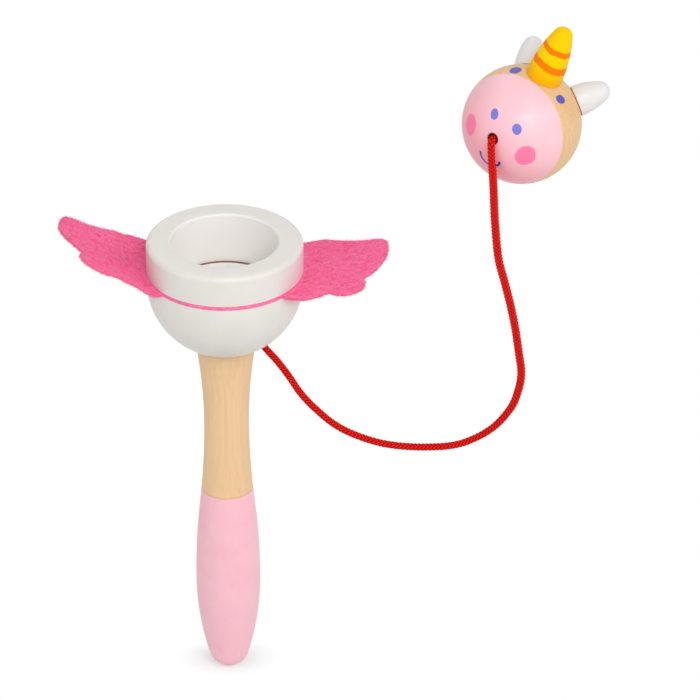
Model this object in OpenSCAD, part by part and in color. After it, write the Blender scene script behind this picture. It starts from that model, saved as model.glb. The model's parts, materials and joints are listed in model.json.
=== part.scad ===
// Cup and ball toy: a turned wooden cup on a handle, a felt piece with two wings held
// under the rim, and an animal-head ball on a cord that is knotted into the cup's floor.
// Millimetres. +Z runs up the handle's axis, X is across the toy and +Y is its far side.
// The origin is on the axis, at the widest line of the grip, where a hand holds the toy.

/* [Rim ring] */
// How far the ring's side stands in from the bowl's widest line
ring_inset = 0; // [0:0.1:2]
// Height of the ring above the felt
ring_h = 12.5; // [9:0.5:16]
// Rounding of the ring's upper outer edge
ring_round = 1.8; // [0.6:0.1:2.6]
// Rounding of the bore's upper edge
mouth_round = 0.8; // [0.3:0.1:1.5]
// Diameter of the cup's bore
cup_bore_d = 41; // [36:0.5:43]
// Depth of the cup, from the rim to its floor
cup_depth = 20.5; // [18:0.5:24]
// Wall of the sleeve that carries the ring down into the bowl
sleeve_wall = 3; // [2:0.25:4]

/* [Bowl] */
// Diameter of the ball shape that the bowl is turned to
bowl_d = 60; // [56:0.5:64]
// Height of the bowl's upper face above its widest line
bowl_top_h = 3; // [1:0.5:6]
// Depth of the handle's flat seat below the bowl's widest line
bowl_seat_h = 26.5; // [25:0.25:27.5]

/* [Handle] */
// Widest diameter of the grip
grip_d = 25; // [21:0.5:30]
// Diameter of the waist
waist_d = 17.3; // [14.5:0.1:20]
// Diameter of the handle's upper end, at the bowl
top_d = 23.6; // [21:0.1:26]
// Height of the waist above the widest line
waist_h = 70; // [55:1:85]
// Height of the bowl's seat above the widest line
seat_h = 106.5; // [95:0.5:125]
// Length from the widest line down to the tip
tip_l = 40.5; // [30:0.5:55]
// Rounding of the tip
tip_r = 8; // [5:0.25:9.5]
// Diameter of the tenon that is glued into the bowl
tenon_d = 14; // [10:0.5:16]
// Length of the tenon
tenon_l = 15; // [8:0.5:16]

/* [Felt wings] */
// Thickness of the felt
felt_t = 1.5; // [1:0.1:2.5]
// Distance of the wing tips from the handle's axis
wing_span = 62; // [56:0.5:70]
// Width of the wings where they leave the ring
wing_w = 40; // [32:0.5:44]
// Rounding where each wing bends up beside the ring
wing_bend_r = 4; // [3:0.5:10]
// Upward bend of the right wing, in degrees
right_lift = 7; // [2:0.5:20]
// Upward bend of the left wing, in degrees
left_lift = 30; // [10:0.5:35]
// Turn of the left wing's bend line across the wing, in degrees
left_turn = 17.5; // [0:0.5:20]
// Turn of the whole felt piece about the handle's axis, in degrees
felt_turn = -1.5; // [-4:0.5:4]

/* [Ball] */
// Diameter of the ball
ball_d = 45.5; // [44.5:0.5:52]
// Diameter of the cord's hole through the ball
nose_hole_d = 4.2; // [3.8:0.1:5.5]
// Countersink of the nose hole
nose_sink = 0.5; // [0.4:0.1:1.2]

/* [Horn and ears] */
// Widest diameter of the horn
horn_d = 14; // [10:0.5:15]
// Rounding of the horn's lower edge
horn_round = 0.4; // [0.2:0.1:1]
// Length of the horn from its seat
horn_l = 22.8; // [16:0.2:32]
// Rounding of the horn's tip
horn_tip_r = 3.9; // [2:0.1:4.5]
// Diameter of the horn's peg
horn_peg_d = 6; // [4:0.5:8]
// Length of the horn's peg
horn_peg_l = 8; // [5:0.5:10]
// Widest diameter of an ear
ear_d = 12; // [9:0.5:12.5]
// Rounding of the ear's lower edge, which leaves its seat narrower than the ear
ear_round = 0.7; // [0.3:0.1:1.2]
// Length of an ear from its seat
ear_l = 13.8; // [10:0.2:18]
// Rounding of an ear's tip
ear_tip_r = 4; // [1.5:0.1:4.4]
// Diameter of an ear's peg
ear_peg_d = 5; // [3:0.5:6]
// Length of an ear's peg
ear_peg_l = 7; // [4:0.5:9]
// How far the ears stand out to each side, in degrees
ear_out = 30; // [24:0.5:45]
// How far the ears stand behind the horn, in degrees
ear_back = 44; // [32:0.5:50]

/* [Cord] */
// Diameter of the cord
cord_d = 3; // [2:0.1:3.4]
// Diameter of the cord's hole through the bowl
cord_hole_d = 3.6; // [3.5:0.1:5]
// Place of that hole across the bowl
cord_hole_x = 12.5; // [11.5:0.5:13]
// Place of that hole towards the far side
cord_hole_y = 9.5; // [8.5:0.5:10.5]
// Diameter of the knots at the cord's two ends
knot_d = 6.8; // [5.5:0.1:7.4]
// Diameter of the pockets that the knots sit in
pocket_d = 8; // [7.6:0.1:9]
// Depth of the knot's pocket in the cup's floor
floor_pocket_l = 6.5; // [6:0.25:9]
// Depth of the knot's pocket at the back of the ball
back_pocket_l = 7.5; // [7:0.25:10]
// Radius of the cord's bend at the nose
nose_bend_r = 3.2; // [3:0.1:6]

/* [Fits] */
// Clearance around the glued tenon, sleeve and pegs
glue_gap = 0.1; // [0.05:0.05:0.25]
// Clearance below the end of a tenon or peg in its blind hole
end_gap = 0.5; // [0.2:0.1:1]
// Clearance between the cord's free ends and what they run into
cord_gap = 0.3; // [0.2:0.05:0.5]
// Clearance between a knot's flat underside and its pocket's floor
knot_gap = 0.2; // [0.1:0.05:0.4]

/* [Hidden] */
$fn = 96;

// Heights above the grip's widest line, from the handle up to the rim
bowl_mid_z = seat_h + bowl_seat_h;
felt_z = bowl_mid_z + bowl_top_h;
ring_z = felt_z + felt_t;
rim_z = ring_z + ring_h;
floor_z = rim_z - cup_depth;

bowl_r = bowl_d / 2;
ring_r = bowl_r - ring_inset;
bore_r = cup_bore_d / 2;
sleeve_r = bore_r + sleeve_wall;
ball_r = ball_d / 2;
cord_r = cord_d / 2;
past = 1;

// A knot is a ball that its pocket's floor cuts flat, this share of its diameter below its middle
knot_seat = 0.38;
pocket_floor_z = floor_z - floor_pocket_l;
cord_hole_r = norm([cord_hole_x, cord_hole_y]);
// Height at which the cord leaves the bowl, at the upper side of its slanting mouth
mouth_z = bowl_mid_z - sqrt(bowl_r ^ 2 - (cord_hole_r + cord_hole_d / 2) ^ 2);

// The ball is held in the air: where its middle is, and how the head nods, leans and turns
ball_at = [112.7, 16, 191.4];
ball_turn = [-10, 19, -34.5];

// Directions on the head: the nose looks along -Y and the horn along +Z before the head is turned
function turn_x(p, a) = [p[0], p[1] * cos(a) - p[2] * sin(a), p[1] * sin(a) + p[2] * cos(a)];
function turn_y(p, a) = [p[0] * cos(a) + p[2] * sin(a), p[1], p[2] * cos(a) - p[0] * sin(a)];
function turn_z(p, a) = [p[0] * cos(a) - p[1] * sin(a), p[0] * sin(a) + p[1] * cos(a), p[2]];
function turned(p, t) = turn_z(turn_y(turn_x(p, t[0]), t[1]), t[2]);
nose_dir = turned([0, -1, 0], ball_turn);

// Flat seats on the ball, where a plane cut is just as wide as the base that sits on it
horn_base_d = horn_d - 2 * horn_round;
horn_seat = sqrt(ball_r ^ 2 - (horn_base_d / 2) ^ 2);
ear_base_d = ear_d - 2 * ear_round;
ear_seat = sqrt(ball_r ^ 2 - (ear_base_d / 2) ^ 2);
back_pocket_floor = ball_r - back_pocket_l;
// The cord starts to bend this far inside the nose
nose_in = 1.85;
nose_end = ball_r - nose_in;

// Points on a round arc from angle a to angle b, in steps
function arc(middle, r, a, b, steps) =
    [for (i = [0:steps]) middle + r * [cos(a + (b - a) * i / steps), sin(a + (b - a) * i / steps)]];

// Side of a bullet shape: it leaves its base square to it, swells in and runs into a round tip
function bullet_side_r(r, length, tip) = ((length - tip) ^ 2 + r ^ 2 - tip ^ 2) / (2 * (r - tip));
function bullet(r, length, tip) =
    let (side = bullet_side_r(r, length, tip), meet = atan2(length - tip, side - r))
    concat(arc([r - side, 0], side, 0, meet, 12), arc([0, length - tip], tip, meet, 90, 10));

// The handle's arcs: a flare above the waist, then two equal arcs from the waist to the widest line
grip_r = grip_d / 2;
waist_r = waist_d / 2;
flare_rise = top_d / 2 - waist_r;
flare_l = seat_h - waist_h;
flare_r = (flare_l ^ 2 + flare_rise ^ 2) / (2 * flare_rise);
flare_angle = asin(flare_l / flare_r);
neck_rise = grip_r - waist_r;
neck_r = (waist_h ^ 2 + neck_rise ^ 2) / (4 * neck_rise);
neck_angle = asin(waist_h / 2 / neck_r);

// The cord's route: points chosen by hand, from under the bowl through the low point to under the nose
near_points = [
    [14.5, 9.5, 98], [19.5, 9.5, 91.5], [24, 9, 85], [28.5, 8, 78], [34, 7.5, 71.5],
    [42, 6.5, 64.5], [51.5, 6, 59.5], [63, 5, 56.5]];
low_point = [77.5, 4, 56];
far_points = [
    [90.5, 2.5, 58.5], [102, 1.5, 65.5], [109.5, 1, 75], [112.5, 0, 84], [113.5, -0.5, 92],
    [112.5, -1, 100.5], [111, -1.5, 111.5], [109, -2.5, 122.5], [106.5, -3, 133.5],
    [104, -4, 144.5], [102.5, -4, 160.5], [101.8, -4.6, 175],
    [101.3, -5.6, 183], [100.9, -5.8, 187.5]];

// Both ends of the route: straight down out of the bowl's hole, and a bend into the nose hole
cord_top = [cord_hole_x, cord_hole_y, mouth_z - cord_gap];
straight_l = 5;
nose_point = ball_at + (nose_end + cord_gap) * nose_dir;
// Out of the hole it turns down over the face, square to the hole
hang_way = [0.15, -0.28, -0.95];
hang_off = hang_way - (hang_way * nose_dir) * nose_dir;
hang_dir = hang_off / norm(hang_off);
function nose_bend(a) = nose_point + nose_bend_r * (sin(a) * nose_dir + (1 - cos(a)) * hang_dir);
bend_steps = 3;
cord_points = concat(
    [cord_top, cord_top - [0, 0, straight_l]],
    near_points, [low_point], far_points,
    [for (i = [bend_steps:-1:0]) nose_bend(90 * i / bend_steps)]);
low_index = len(near_points) + 2;

// A smooth curve through the route's points, with a few rings to each stretch
rings_per_stretch = 2;
last_point = len(cord_points) - 1;
function route_at(i) =
    i < 0 ? cord_top + [0, 0, straight_l] :
    i > last_point ? nose_point - straight_l * nose_dir : cord_points[i];
function curve(a, b, c, d, t) =
    (2 * b + t * (c - a) + t ^ 2 * (2 * a - 5 * b + 4 * c - d) + t ^ 3 * (3 * b - a - 3 * c + d)) / 2;
function slope(a, b, c, d, t) =
    (c - a + 2 * t * (2 * a - 5 * b + 4 * c - d) + 3 * t ^ 2 * (3 * b - a - 3 * c + d)) / 2;
function stretch_of(k) = min(floor(k / rings_per_stretch), last_point - 1);
function ring_middle(k) =
    let (i = stretch_of(k), t = k / rings_per_stretch - i)
    curve(route_at(i - 1), route_at(i), route_at(i + 1), route_at(i + 2), t);
function ring_way(k) =
    let (i = stretch_of(k), t = k / rings_per_stretch - i)
    slope(route_at(i - 1), route_at(i), route_at(i + 1), route_at(i + 2), t);
ring_sides = 8;
function unit(p) = p / norm(p);
function ring_points(k) =
    let (
        way = k == 0 ? [0, 0, -1] : k == last_point * rings_per_stretch ? -nose_dir : unit(ring_way(k)),
        side = unit(cross(way, [0, 1, 0])), rise = cross(side, way))
    [for (j = [0:ring_sides - 1])
        ring_middle(k) + cord_r * (cos(360 * j / ring_sides) * side + sin(360 * j / ring_sides) * rise)];

// The felt's fold: a wing stays flat up to a line just outside the ring, then bends up and runs straight
fold_gap = 0.3;
fold_d = ring_r + fold_gap;
wing_reach = 2 * wing_span;

// Corners of the right wing, from the far side of the ring round the tip to the near side
wing_root_y = wing_w / 2;
wing_root_x = sqrt(ring_r ^ 2 - wing_root_y ^ 2);
shoulder_step = [7.5, 3];
tip_back_step = [-2.5, -0.7];
tip_side_step = [0, -5];
first_notch_step = [-9.5, 10];
second_notch_step = [-22, 1.5];
wing_shoulder = [ring_r, wing_root_y] + shoulder_step;
wing_tip_back = [wing_span, wing_root_y] + tip_back_step;
wing_tip_side = [wing_span, wing_root_y] + tip_side_step;
first_notch = [wing_span, -wing_root_y] + first_notch_step;
second_notch = [wing_span, -wing_root_y] + second_notch_step;

// How far the wing's edges bow out: the hollow back edge, the tip's corner, and the feathers from tip to root
back_bow = -1.4;
tip_bow = 1;
feather_bows = [2.9, 7.2, 4.1];

// Points on the arc that bows out by rise from the line between two corners, without the last corner
function bow(p, q, rise, steps = 8) =
    let (
        half = norm(q - p) / 2, r = (half ^ 2 + rise ^ 2) / (2 * rise), sweep = asin(half / r),
        along = (q - p) / (2 * half), out = [-along[1], along[0]], middle = (p + q) / 2 + (rise - r) * out)
    [for (i = [0:steps - 1])
        let (a = sweep * (2 * i / steps - 1))
        middle + r * (sin(a) * along + cos(a) * out)];
wing_outline = concat(
    [[0, wing_root_y], [wing_root_x, wing_root_y]],
    bow(wing_shoulder, wing_tip_back, back_bow),
    bow(wing_tip_back, wing_tip_side, tip_bow),
    bow(wing_tip_side, first_notch, feather_bows[0]),
    bow(first_notch, second_notch, feather_bows[1]),
    bow(second_notch, [wing_root_x, -wing_root_y], feather_bows[2]),
    [[wing_root_x, -wing_root_y], [0, -wing_root_y]]);

// Turned handle: flared top, waist, full grip and round tip, with the tenon on its upper end
module handle() {
    profile = concat(
        [[0, seat_h + tenon_l], [tenon_d / 2, seat_h + tenon_l], [tenon_d / 2, seat_h]],
        arc([waist_r + flare_r, waist_h], flare_r, 180 - flare_angle, 180, 12),
        arc([waist_r + neck_r, waist_h], neck_r, 180, 180 + neck_angle, 12),
        arc([grip_r - neck_r, 0], neck_r, neck_angle, 0, 12),
        [for (p = bullet(grip_r, tip_l, tip_r)) [p[0], -p[1]]]);
    color("burlywood")
        rotate_extrude()
            polygon(profile);
}

// Bowl: a ball cut flat above and below, with the sleeve's socket, the tenon's hole and the cord's hole
module cup_bowl() {
    color("ivory")
        difference() {
            intersection() {
                translate([0, 0, bowl_mid_z])
                    sphere(r = bowl_r);
                translate([0, 0, seat_h])
                    cylinder(r = bowl_r + past, h = felt_z - seat_h);
            }
            translate([0, 0, floor_z])
                cylinder(r = sleeve_r + glue_gap, h = felt_z - floor_z + past);
            translate([0, 0, seat_h - past])
                cylinder(d = tenon_d + 2 * glue_gap, h = tenon_l + end_gap + past);
            translate([cord_hole_x, cord_hole_y, seat_h - past])
                cylinder(d = cord_hole_d, h = floor_z - seat_h);
            translate([cord_hole_x, cord_hole_y, pocket_floor_z])
                cylinder(d = pocket_d, h = floor_pocket_l + past);
        }
}

// Everything on the flat side of a wing's bend line, in plan
module flat_side(turn) {
    rotate(turn)
        translate([fold_d - wing_reach, -wing_reach])
            square([wing_reach, 2 * wing_reach]);
}

// A sheet that starts at the bend line, bends up by lift and runs straight on
module bent_sheet(turn, lift) {
    rotate([0, 0, turn])
        rotate([90, 0, 0])
            linear_extrude(height = 2 * wing_reach, center = true)
                translate([fold_d, felt_t + wing_bend_r]) {
                    intersection() {
                        difference() {
                            circle(r = wing_bend_r + felt_t);
                            circle(r = wing_bend_r);
                        }
                        polygon([[0, 0], [0, -wing_reach], wing_reach * [sin(lift), -cos(lift)]]);
                    }
                    rotate(lift)
                        translate([0, -wing_bend_r - felt_t])
                            square([wing_reach, felt_t]);
                }
}

// One wing: its flat root and its bent part, both cut to the outline
module wing(turn, lift) {
    linear_extrude(height = felt_t)
        intersection() {
            polygon(wing_outline);
            flat_side(turn);
        }
    intersection() {
        translate([0, 0, -felt_t])
            linear_extrude(height = wing_reach)
                polygon(wing_outline);
        bent_sheet(turn, lift);
    }
}

// Felt: a ring held between the rim ring and the bowl, with a wing on each side, in one piece
module felt_wings() {
    color("hotpink")
        translate([0, 0, felt_z])
            rotate([0, 0, felt_turn])
                difference() {
                    union() {
                        cylinder(r = ring_r, h = felt_t);
                        wing(0, right_lift);
                        mirror([1, 0, 0])
                            wing(-left_turn, left_lift);
                    }
                    translate([0, 0, -past])
                        cylinder(r = sleeve_r + glue_gap, h = felt_t + 2 * past);
                }
}

// Rim ring: the thick ring and, below it, the sleeve that passes the felt and stands on the bowl's floor
module rim_ring() {
    profile = concat(
        [[bore_r, floor_z], [sleeve_r, floor_z], [sleeve_r, ring_z], [ring_r, ring_z]],
        arc([ring_r - ring_round, rim_z - ring_round], ring_round, 0, 90, 8),
        arc([bore_r + mouth_round, rim_z - mouth_round], mouth_round, 90, 180, 6));
    color("ivory")
        rotate_extrude()
            polygon(profile);
}

// A knot on its flat seat, with the cord's straight stretch below it
module knot(stub_l) {
    intersection() {
        translate([0, 0, knot_seat * knot_d])
            sphere(d = knot_d);
        cylinder(d = knot_d + past, h = 2 * knot_d);
    }
    translate([0, 0, -stub_l])
        cylinder(r = cord_r, h = stub_l);
}

// The cord's end in the cup: its knot in the floor's pocket, and the stretch through the bowl
module anchor_knot() {
    color("crimson")
        translate([cord_hole_x, cord_hole_y, pocket_floor_z + knot_gap])
            knot(pocket_floor_z + knot_gap - mouth_z);
}

// A stretch of the cord: a tube from one ring of the route to another
module cord(first, last) {
    points = [for (k = [first:last]) each ring_points(k)];
    rings = last - first;
    sides = [
        for (i = [0:rings - 1])
            for (j = [0:ring_sides - 1])
                let (a = i * ring_sides + j, b = i * ring_sides + (j + 1) % ring_sides)
                each [[a, b, a + ring_sides], [b, b + ring_sides, a + ring_sides]]];
    start = [for (j = [0:ring_sides - 1]) ring_sides - 1 - j];
    end = [for (j = [0:ring_sides - 1]) rings * ring_sides + j];
    polyhedron(points, concat([start, end], sides));
}

// From the bowl down to the low point of the loop
module cord_near() {
    color("crimson")
        cord(0, low_index * rings_per_stretch);
}

// From the low point up to the nose
module cord_far() {
    color("crimson")
        cord(low_index * rings_per_stretch, last_point * rings_per_stretch);
}

// Puts what is drawn on the head's own axes where the ball is held
module on_head() {
    translate(ball_at)
        rotate(ball_turn)
            children();
}

// Turns what is drawn along +Z to an ear's direction, to the side given as 1 or -1
module at_ear(side) {
    rotate([-ear_back, 0, 0])
        rotate([0, side * ear_out, 0])
            children();
}

// The cord's end in the ball: its knot in the pocket at the back, and the stretch through to the nose
module ball_knot() {
    color("crimson")
        on_head()
            translate([0, back_pocket_floor + knot_gap, 0])
                rotate([-90, 0, 0])
                    knot(back_pocket_floor + knot_gap + nose_end);
}

// A flat seat with a blind hole for a peg, cut along +Z
module peg_seat(seat, base_d, peg_d, peg_l) {
    translate([0, 0, seat])
        cylinder(r = base_d / 2 + past, h = ball_r);
    translate([0, 0, seat - peg_l - end_gap])
        cylinder(d = peg_d + 2 * glue_gap, h = peg_l + end_gap + past);
}

// Ball: drilled through from the nose, with a pocket at the back and seats for the horn and the ears
module ball() {
    color("pink")
        on_head()
            difference() {
                sphere(r = ball_r);
                rotate([90, 0, 0])
                    cylinder(d = nose_hole_d, h = 2 * ball_d, center = true);
                translate([0, -ball_r - nose_sink, 0])
                    rotate([-90, 0, 0])
                        cylinder(d1 = nose_hole_d + 4 * nose_sink, d2 = nose_hole_d, h = 2 * nose_sink);
                translate([0, back_pocket_floor, 0])
                    rotate([-90, 0, 0])
                        cylinder(d = pocket_d, h = ball_d);
                peg_seat(horn_seat, horn_base_d, horn_peg_d, horn_peg_l);
                for (side = [-1, 1])
                    at_ear(side)
                        peg_seat(ear_seat, ear_base_d, ear_peg_d, ear_peg_l);
            }
}

// A turned bullet with a peg under it, standing on its seat, its lower edge rounded by foot
module pegged_bullet(d, length, tip, foot, peg_d, peg_l) {
    side = [for (p = bullet(d / 2, length - foot, tip)) p + [0, foot]];
    rotate_extrude()
        polygon(concat(
            [[0, -peg_l], [peg_d / 2, -peg_l], [peg_d / 2, 0]],
            arc([d / 2 - foot, foot], foot, -90, 0, 5),
            side));
}

// Horn on top of the head
module horn() {
    color("gold")
        on_head()
            translate([0, 0, horn_seat])
                pegged_bullet(horn_d, horn_l, horn_tip_r, horn_round, horn_peg_d, horn_peg_l);
}

// One ear, to the side given as 1 or -1
module ear(side) {
    color("ivory")
        on_head()
            at_ear(side)
                translate([0, 0, ear_seat])
                    pegged_bullet(ear_d, ear_l, ear_tip_r, ear_round, ear_peg_d, ear_peg_l);
}

module left_ear() {
    ear(-1);
}

module right_ear() {
    ear(1);
}

handle();
cup_bowl();
felt_wings();
rim_ring();
anchor_knot();
cord_near();
cord_far();
ball_knot();
ball();
horn();
left_ear();
right_ear();
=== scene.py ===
"""Looks of the cup and ball toy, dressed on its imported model.

Metres, in the model's own frame: +Z up the handle's axis, +X towards the ball's side and +Y away
from the viewer. Sizes are written in millimetres and turned into metres by MM.
"""
import json
import math

import bmesh
import bpy
import numpy as np
from mathutils import Euler, Matrix, Vector, noise
from mathutils.geometry import delaunay_2d_cdt


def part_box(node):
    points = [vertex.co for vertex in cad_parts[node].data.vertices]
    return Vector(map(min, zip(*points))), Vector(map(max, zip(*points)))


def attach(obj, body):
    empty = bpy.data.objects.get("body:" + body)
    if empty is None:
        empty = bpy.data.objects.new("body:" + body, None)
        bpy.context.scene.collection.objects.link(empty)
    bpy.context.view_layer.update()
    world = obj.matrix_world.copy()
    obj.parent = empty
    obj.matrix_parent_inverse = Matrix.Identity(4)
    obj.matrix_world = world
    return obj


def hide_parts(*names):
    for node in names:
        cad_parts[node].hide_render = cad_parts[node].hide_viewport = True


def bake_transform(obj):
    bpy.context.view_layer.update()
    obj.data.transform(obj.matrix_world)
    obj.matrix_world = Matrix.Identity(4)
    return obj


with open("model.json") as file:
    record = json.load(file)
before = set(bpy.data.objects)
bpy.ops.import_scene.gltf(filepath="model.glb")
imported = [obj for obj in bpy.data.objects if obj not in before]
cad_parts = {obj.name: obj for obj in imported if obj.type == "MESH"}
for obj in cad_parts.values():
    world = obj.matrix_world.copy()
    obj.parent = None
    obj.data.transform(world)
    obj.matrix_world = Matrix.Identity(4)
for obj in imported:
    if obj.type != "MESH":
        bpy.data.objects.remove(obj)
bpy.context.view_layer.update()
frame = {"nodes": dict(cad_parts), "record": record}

MM = 0.001
FLOAT, COLOUR, VECTOR = "NodeSocketFloat", "NodeSocketColor", "NodeSocketVector"

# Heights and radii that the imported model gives
handle_low, handle_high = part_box("handle")
ring_low, ring_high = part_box("rim_ring")
bowl_low, bowl_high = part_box("cup_bowl")
joints = {joint["name"]: joint for joint in frame["record"]["behaviour"]["joints"]}
tip_z, grip_r, tenon_top = handle_low.z, handle_high.x, handle_high.z
seat_z, felt_low, bowl_r = bowl_low.z, bowl_high.z, ring_high.x
cup_floor, rim_z = ring_low.z, ring_high.z
ball_at = Vector(joints["ball_spin"]["pos_m"])
nose_way = Vector(joints["ball_spin"]["axis"]).normalized()

# Sizes of the pieces: the source's own, apart from the paint line and the ring's roundings. The place
# of the cord's hole stays in mm.
WAIST_R, TOP_R, WAIST_Z = 8.65 * MM, 11.8 * MM, 70 * MM
TIP_ROUND, TENON_R, PAINT_Z = 8 * MM, 7 * MM, 40.6 * MM
BORE_R, SLEEVE_R = 20.5 * MM, 23.5 * MM
RING_ROUND, MOUTH_ROUND, EASED = 2.3 * MM, 1.0 * MM, 0.35 * MM
FELT_T = 1.5 * MM
BALL_R, NOSE_R, NOSE_SINK = 22.75 * MM, 2.1 * MM, 0.5 * MM
POCKET_R, POCKET_L = 4 * MM, 7.5 * MM
HEAD_TURN = Euler([math.radians(a) for a in (-10, 19, -34.5)])
HORN_R, HORN_L, HORN_TIP, HORN_FOOT = 7 * MM, 22.8 * MM, 3.9 * MM, 0.4 * MM
EAR_R, EAR_L, EAR_TIP, EAR_FOOT = 6 * MM, 13.8 * MM, 4 * MM, 0.7 * MM
EAR_OUT, EAR_BACK = math.radians(30), math.radians(-44)
CORD_D, CORD_LENGTH, CORD_HOLE = 3 * MM, 255 * MM, (12.5, 9.5)

# Heights between which the cord bends when it swings, and half the stretch that its fold bends
CORD_BEND, CORD_FOLD = (107.2 * MM, 98.2 * MM), 22 * MM

# Where along its length the cord is fuller, and by what share of its diameter
FULLER_FROM, FULLER_UNTIL, FULLER_SHARE = 112 * MM, 250 * MM, 0.15
SWELL_RUN, SLIM_RUN = 38 * MM, 6 * MM

# The braid's parts as shares of the cord's diameter: how far out the strands run and how far they
# rise and dive, and the radii of a strand and of the core
STRAND_OUT, STRAND_LIFT, STRAND_R, CORE_R = 0.305, 0.05, 0.145, 0.27
STRANDS_EACH_WAY = 6

# The knots: their braid's sizes, the height of the one in the cup's floor in mm, and how far behind
# the ball's middle the other is
KNOT_D, KNOT_LEAD, KNOT_STEP = 2.3 * MM, 6.5 * MM, 0.45 * MM
KNOT_UP, KNOT_BACK = 125.6, 18.4 * MM

# The cord's way from the bowl's hole to the nose, by the source's points, in mm
CORD_ROUTE = [
    (12.5, 9.5, 112), (12.5, 9.5, 108.3), (12.5, 9.5, 103.3), (14.5, 9.5, 98), (19.5, 9.5, 91.5),
    (24, 9, 85), (28.5, 8, 78), (34, 7.5, 71.5), (42, 6.5, 64.5), (51.5, 6, 59.5), (63, 5, 56.5),
    (77.5, 4, 56), (90.5, 2.5, 58.5), (102, 1.5, 65.5), (109.5, 1, 75), (112.5, 0, 84),
    (113.5, -0.5, 92), (112.5, -1, 100.5), (111, -1.5, 111.5), (109, -2.5, 122.5),
    (106.5, -3, 133.5), (104, -4, 144.5), (102.5, -4, 160.5), (101.8, -4.6, 175),
    (101.3, -5.6, 183), (100.9, -5.8, 187.5),
]


# Meshes

def make_object(name, mesh):
    """A new object at the origin, with its place in its mesh."""
    made = bpy.data.objects.new(name, mesh)
    bpy.context.scene.collection.objects.link(made)
    return made


def finish_mesh(mesh, crease=35):
    """Merges doubles, turns the faces outwards and shades smooth up to the crease angle."""
    work = bmesh.new()
    work.from_mesh(mesh)
    bmesh.ops.remove_doubles(work, verts=work.verts, dist=1e-7)
    bmesh.ops.recalc_face_normals(work, faces=work.faces)
    work.to_mesh(mesh)
    work.free()
    mesh.shade_smooth()
    mesh.set_sharp_from_angle(angle=math.radians(crease))
    return mesh


def arc(centre_r, centre_z, radius, start, end, steps):
    """Points of a turned profile's arc, with its angles in radians from the radius direction."""
    angles = [start + (end - start) * i / steps for i in range(steps + 1)]
    return [(centre_r + radius * math.cos(a), centre_z + radius * math.sin(a)) for a in angles]


def bullet(radius, length, tip, steps=40):
    """A rounded nose: a long side arc that runs into a tip arc on the axis."""
    side = ((length - tip) ** 2 + radius ** 2 - tip ** 2) / (2 * (radius - tip))
    meet = math.atan2(length - tip, side - radius)
    nose = arc(radius - side, 0, side, 0, meet, steps)
    nose += arc(0, length - tip, tip, meet, math.pi / 2, steps // 2)
    return nose[:-1] + [(0, length)]


def turned_mesh(name, profile, place=Matrix(), sides=144, loop=False):
    """Turns a profile of (radius, height) points about Z, then sets it at its place."""
    points, rows, faces = [], [], []
    for radius, height in profile:
        count = 1 if radius < 1e-7 else sides
        rows.append([len(points) + i for i in range(count)])
        for i in range(count):
            a = 2 * math.pi * i / sides
            points.append(place @ Vector((radius * math.cos(a), radius * math.sin(a), height)))
    for lower, upper in zip(rows, rows[1:] + rows[:1] if loop else rows[1:]):
        for i in range(sides):
            corners = [row[j % len(row)] for row, j in
                       ((lower, i), (lower, (i + 1) % sides), (upper, (i + 1) % sides), (upper, i))]
            face = list(dict.fromkeys(corners))
            if len(face) > 2:
                faces.append(face)
    mesh = bpy.data.meshes.new(name)
    mesh.from_pydata(points, [], faces)
    return finish_mesh(mesh)


# Nodes

def add_node(tree, kind, values=None, **settings):
    """A new node with its settings, and its inputs given as values or linked from sockets."""
    made = tree.nodes.new(kind)
    for name, value in settings.items():
        setattr(made, name, value)
    for name, value in (values or {}).items():
        if isinstance(value, bpy.types.NodeSocket):
            tree.links.new(value, made.inputs[name])
        else:
            made.inputs[name].default_value = value
    return made


def maths(tree, operation, *values, clamp=False):
    """One sum on values or sockets."""
    given = dict(enumerate(values))
    return add_node(tree, "ShaderNodeMath", given, operation=operation, use_clamp=clamp).outputs[0]


def plus(tree, first, second, clamp=False):
    """First and second together."""
    return maths(tree, "ADD", first, second, clamp=clamp)


def minus(tree, first, second):
    """First less second."""
    return maths(tree, "SUBTRACT", first, second)


def times(tree, first, second, clamp=False):
    """First by second."""
    return maths(tree, "MULTIPLY", first, second, clamp=clamp)


def inverse(tree, mask):
    """1 where the mask is 0, and 0 where it is 1."""
    return minus(tree, 1.0, mask)


def hypotenuse(tree, first, second):
    """The distance that two sides at right angles reach."""
    return maths(tree, "SQRT", plus(tree, times(tree, first, first), times(tree, second, second)))


def vector_maths(tree, operation, *values, result=0):
    """One sum on vectors; the result is 0 for a vector or 1 for a value."""
    given = dict(enumerate(values))
    return add_node(tree, "ShaderNodeVectorMath", given, operation=operation).outputs[result]


def length_of(tree, vector):
    """A vector's length."""
    return vector_maths(tree, "LENGTH", vector, result=1)


def dot(tree, first, second):
    """The dot product of two vectors."""
    return vector_maths(tree, "DOT_PRODUCT", first, second, result=1)


def stretched(tree, vector, factor):
    """A vector made longer by a factor."""
    given = {0: vector, "Scale": factor}
    return add_node(tree, "ShaderNodeVectorMath", given, operation="SCALE").outputs[0]


def along(tree, vector, axis):
    """One part of a vector."""
    return add_node(tree, "ShaderNodeSeparateXYZ", {"Vector": vector}).outputs[axis]


def off_axis(tree, place):
    """How far out from the handle's axis a place is."""
    return length_of(tree, vector_maths(tree, "MULTIPLY", place, (1, 1, 0)))


def eased_step(tree, value, start, end):
    """0 before start, 1 after end and a smooth step between them."""
    return add_node(tree, "ShaderNodeMapRange", {"Value": value, "From Min": start, "From Max": end},
                    interpolation_type="SMOOTHSTEP").outputs["Result"]


def mix_colour(tree, mask, under, over):
    """The over colour where the mask is 1."""
    return add_node(tree, "ShaderNodeMix", {0: mask, 6: under, 7: over}, data_type="RGBA").outputs[2]


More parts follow.
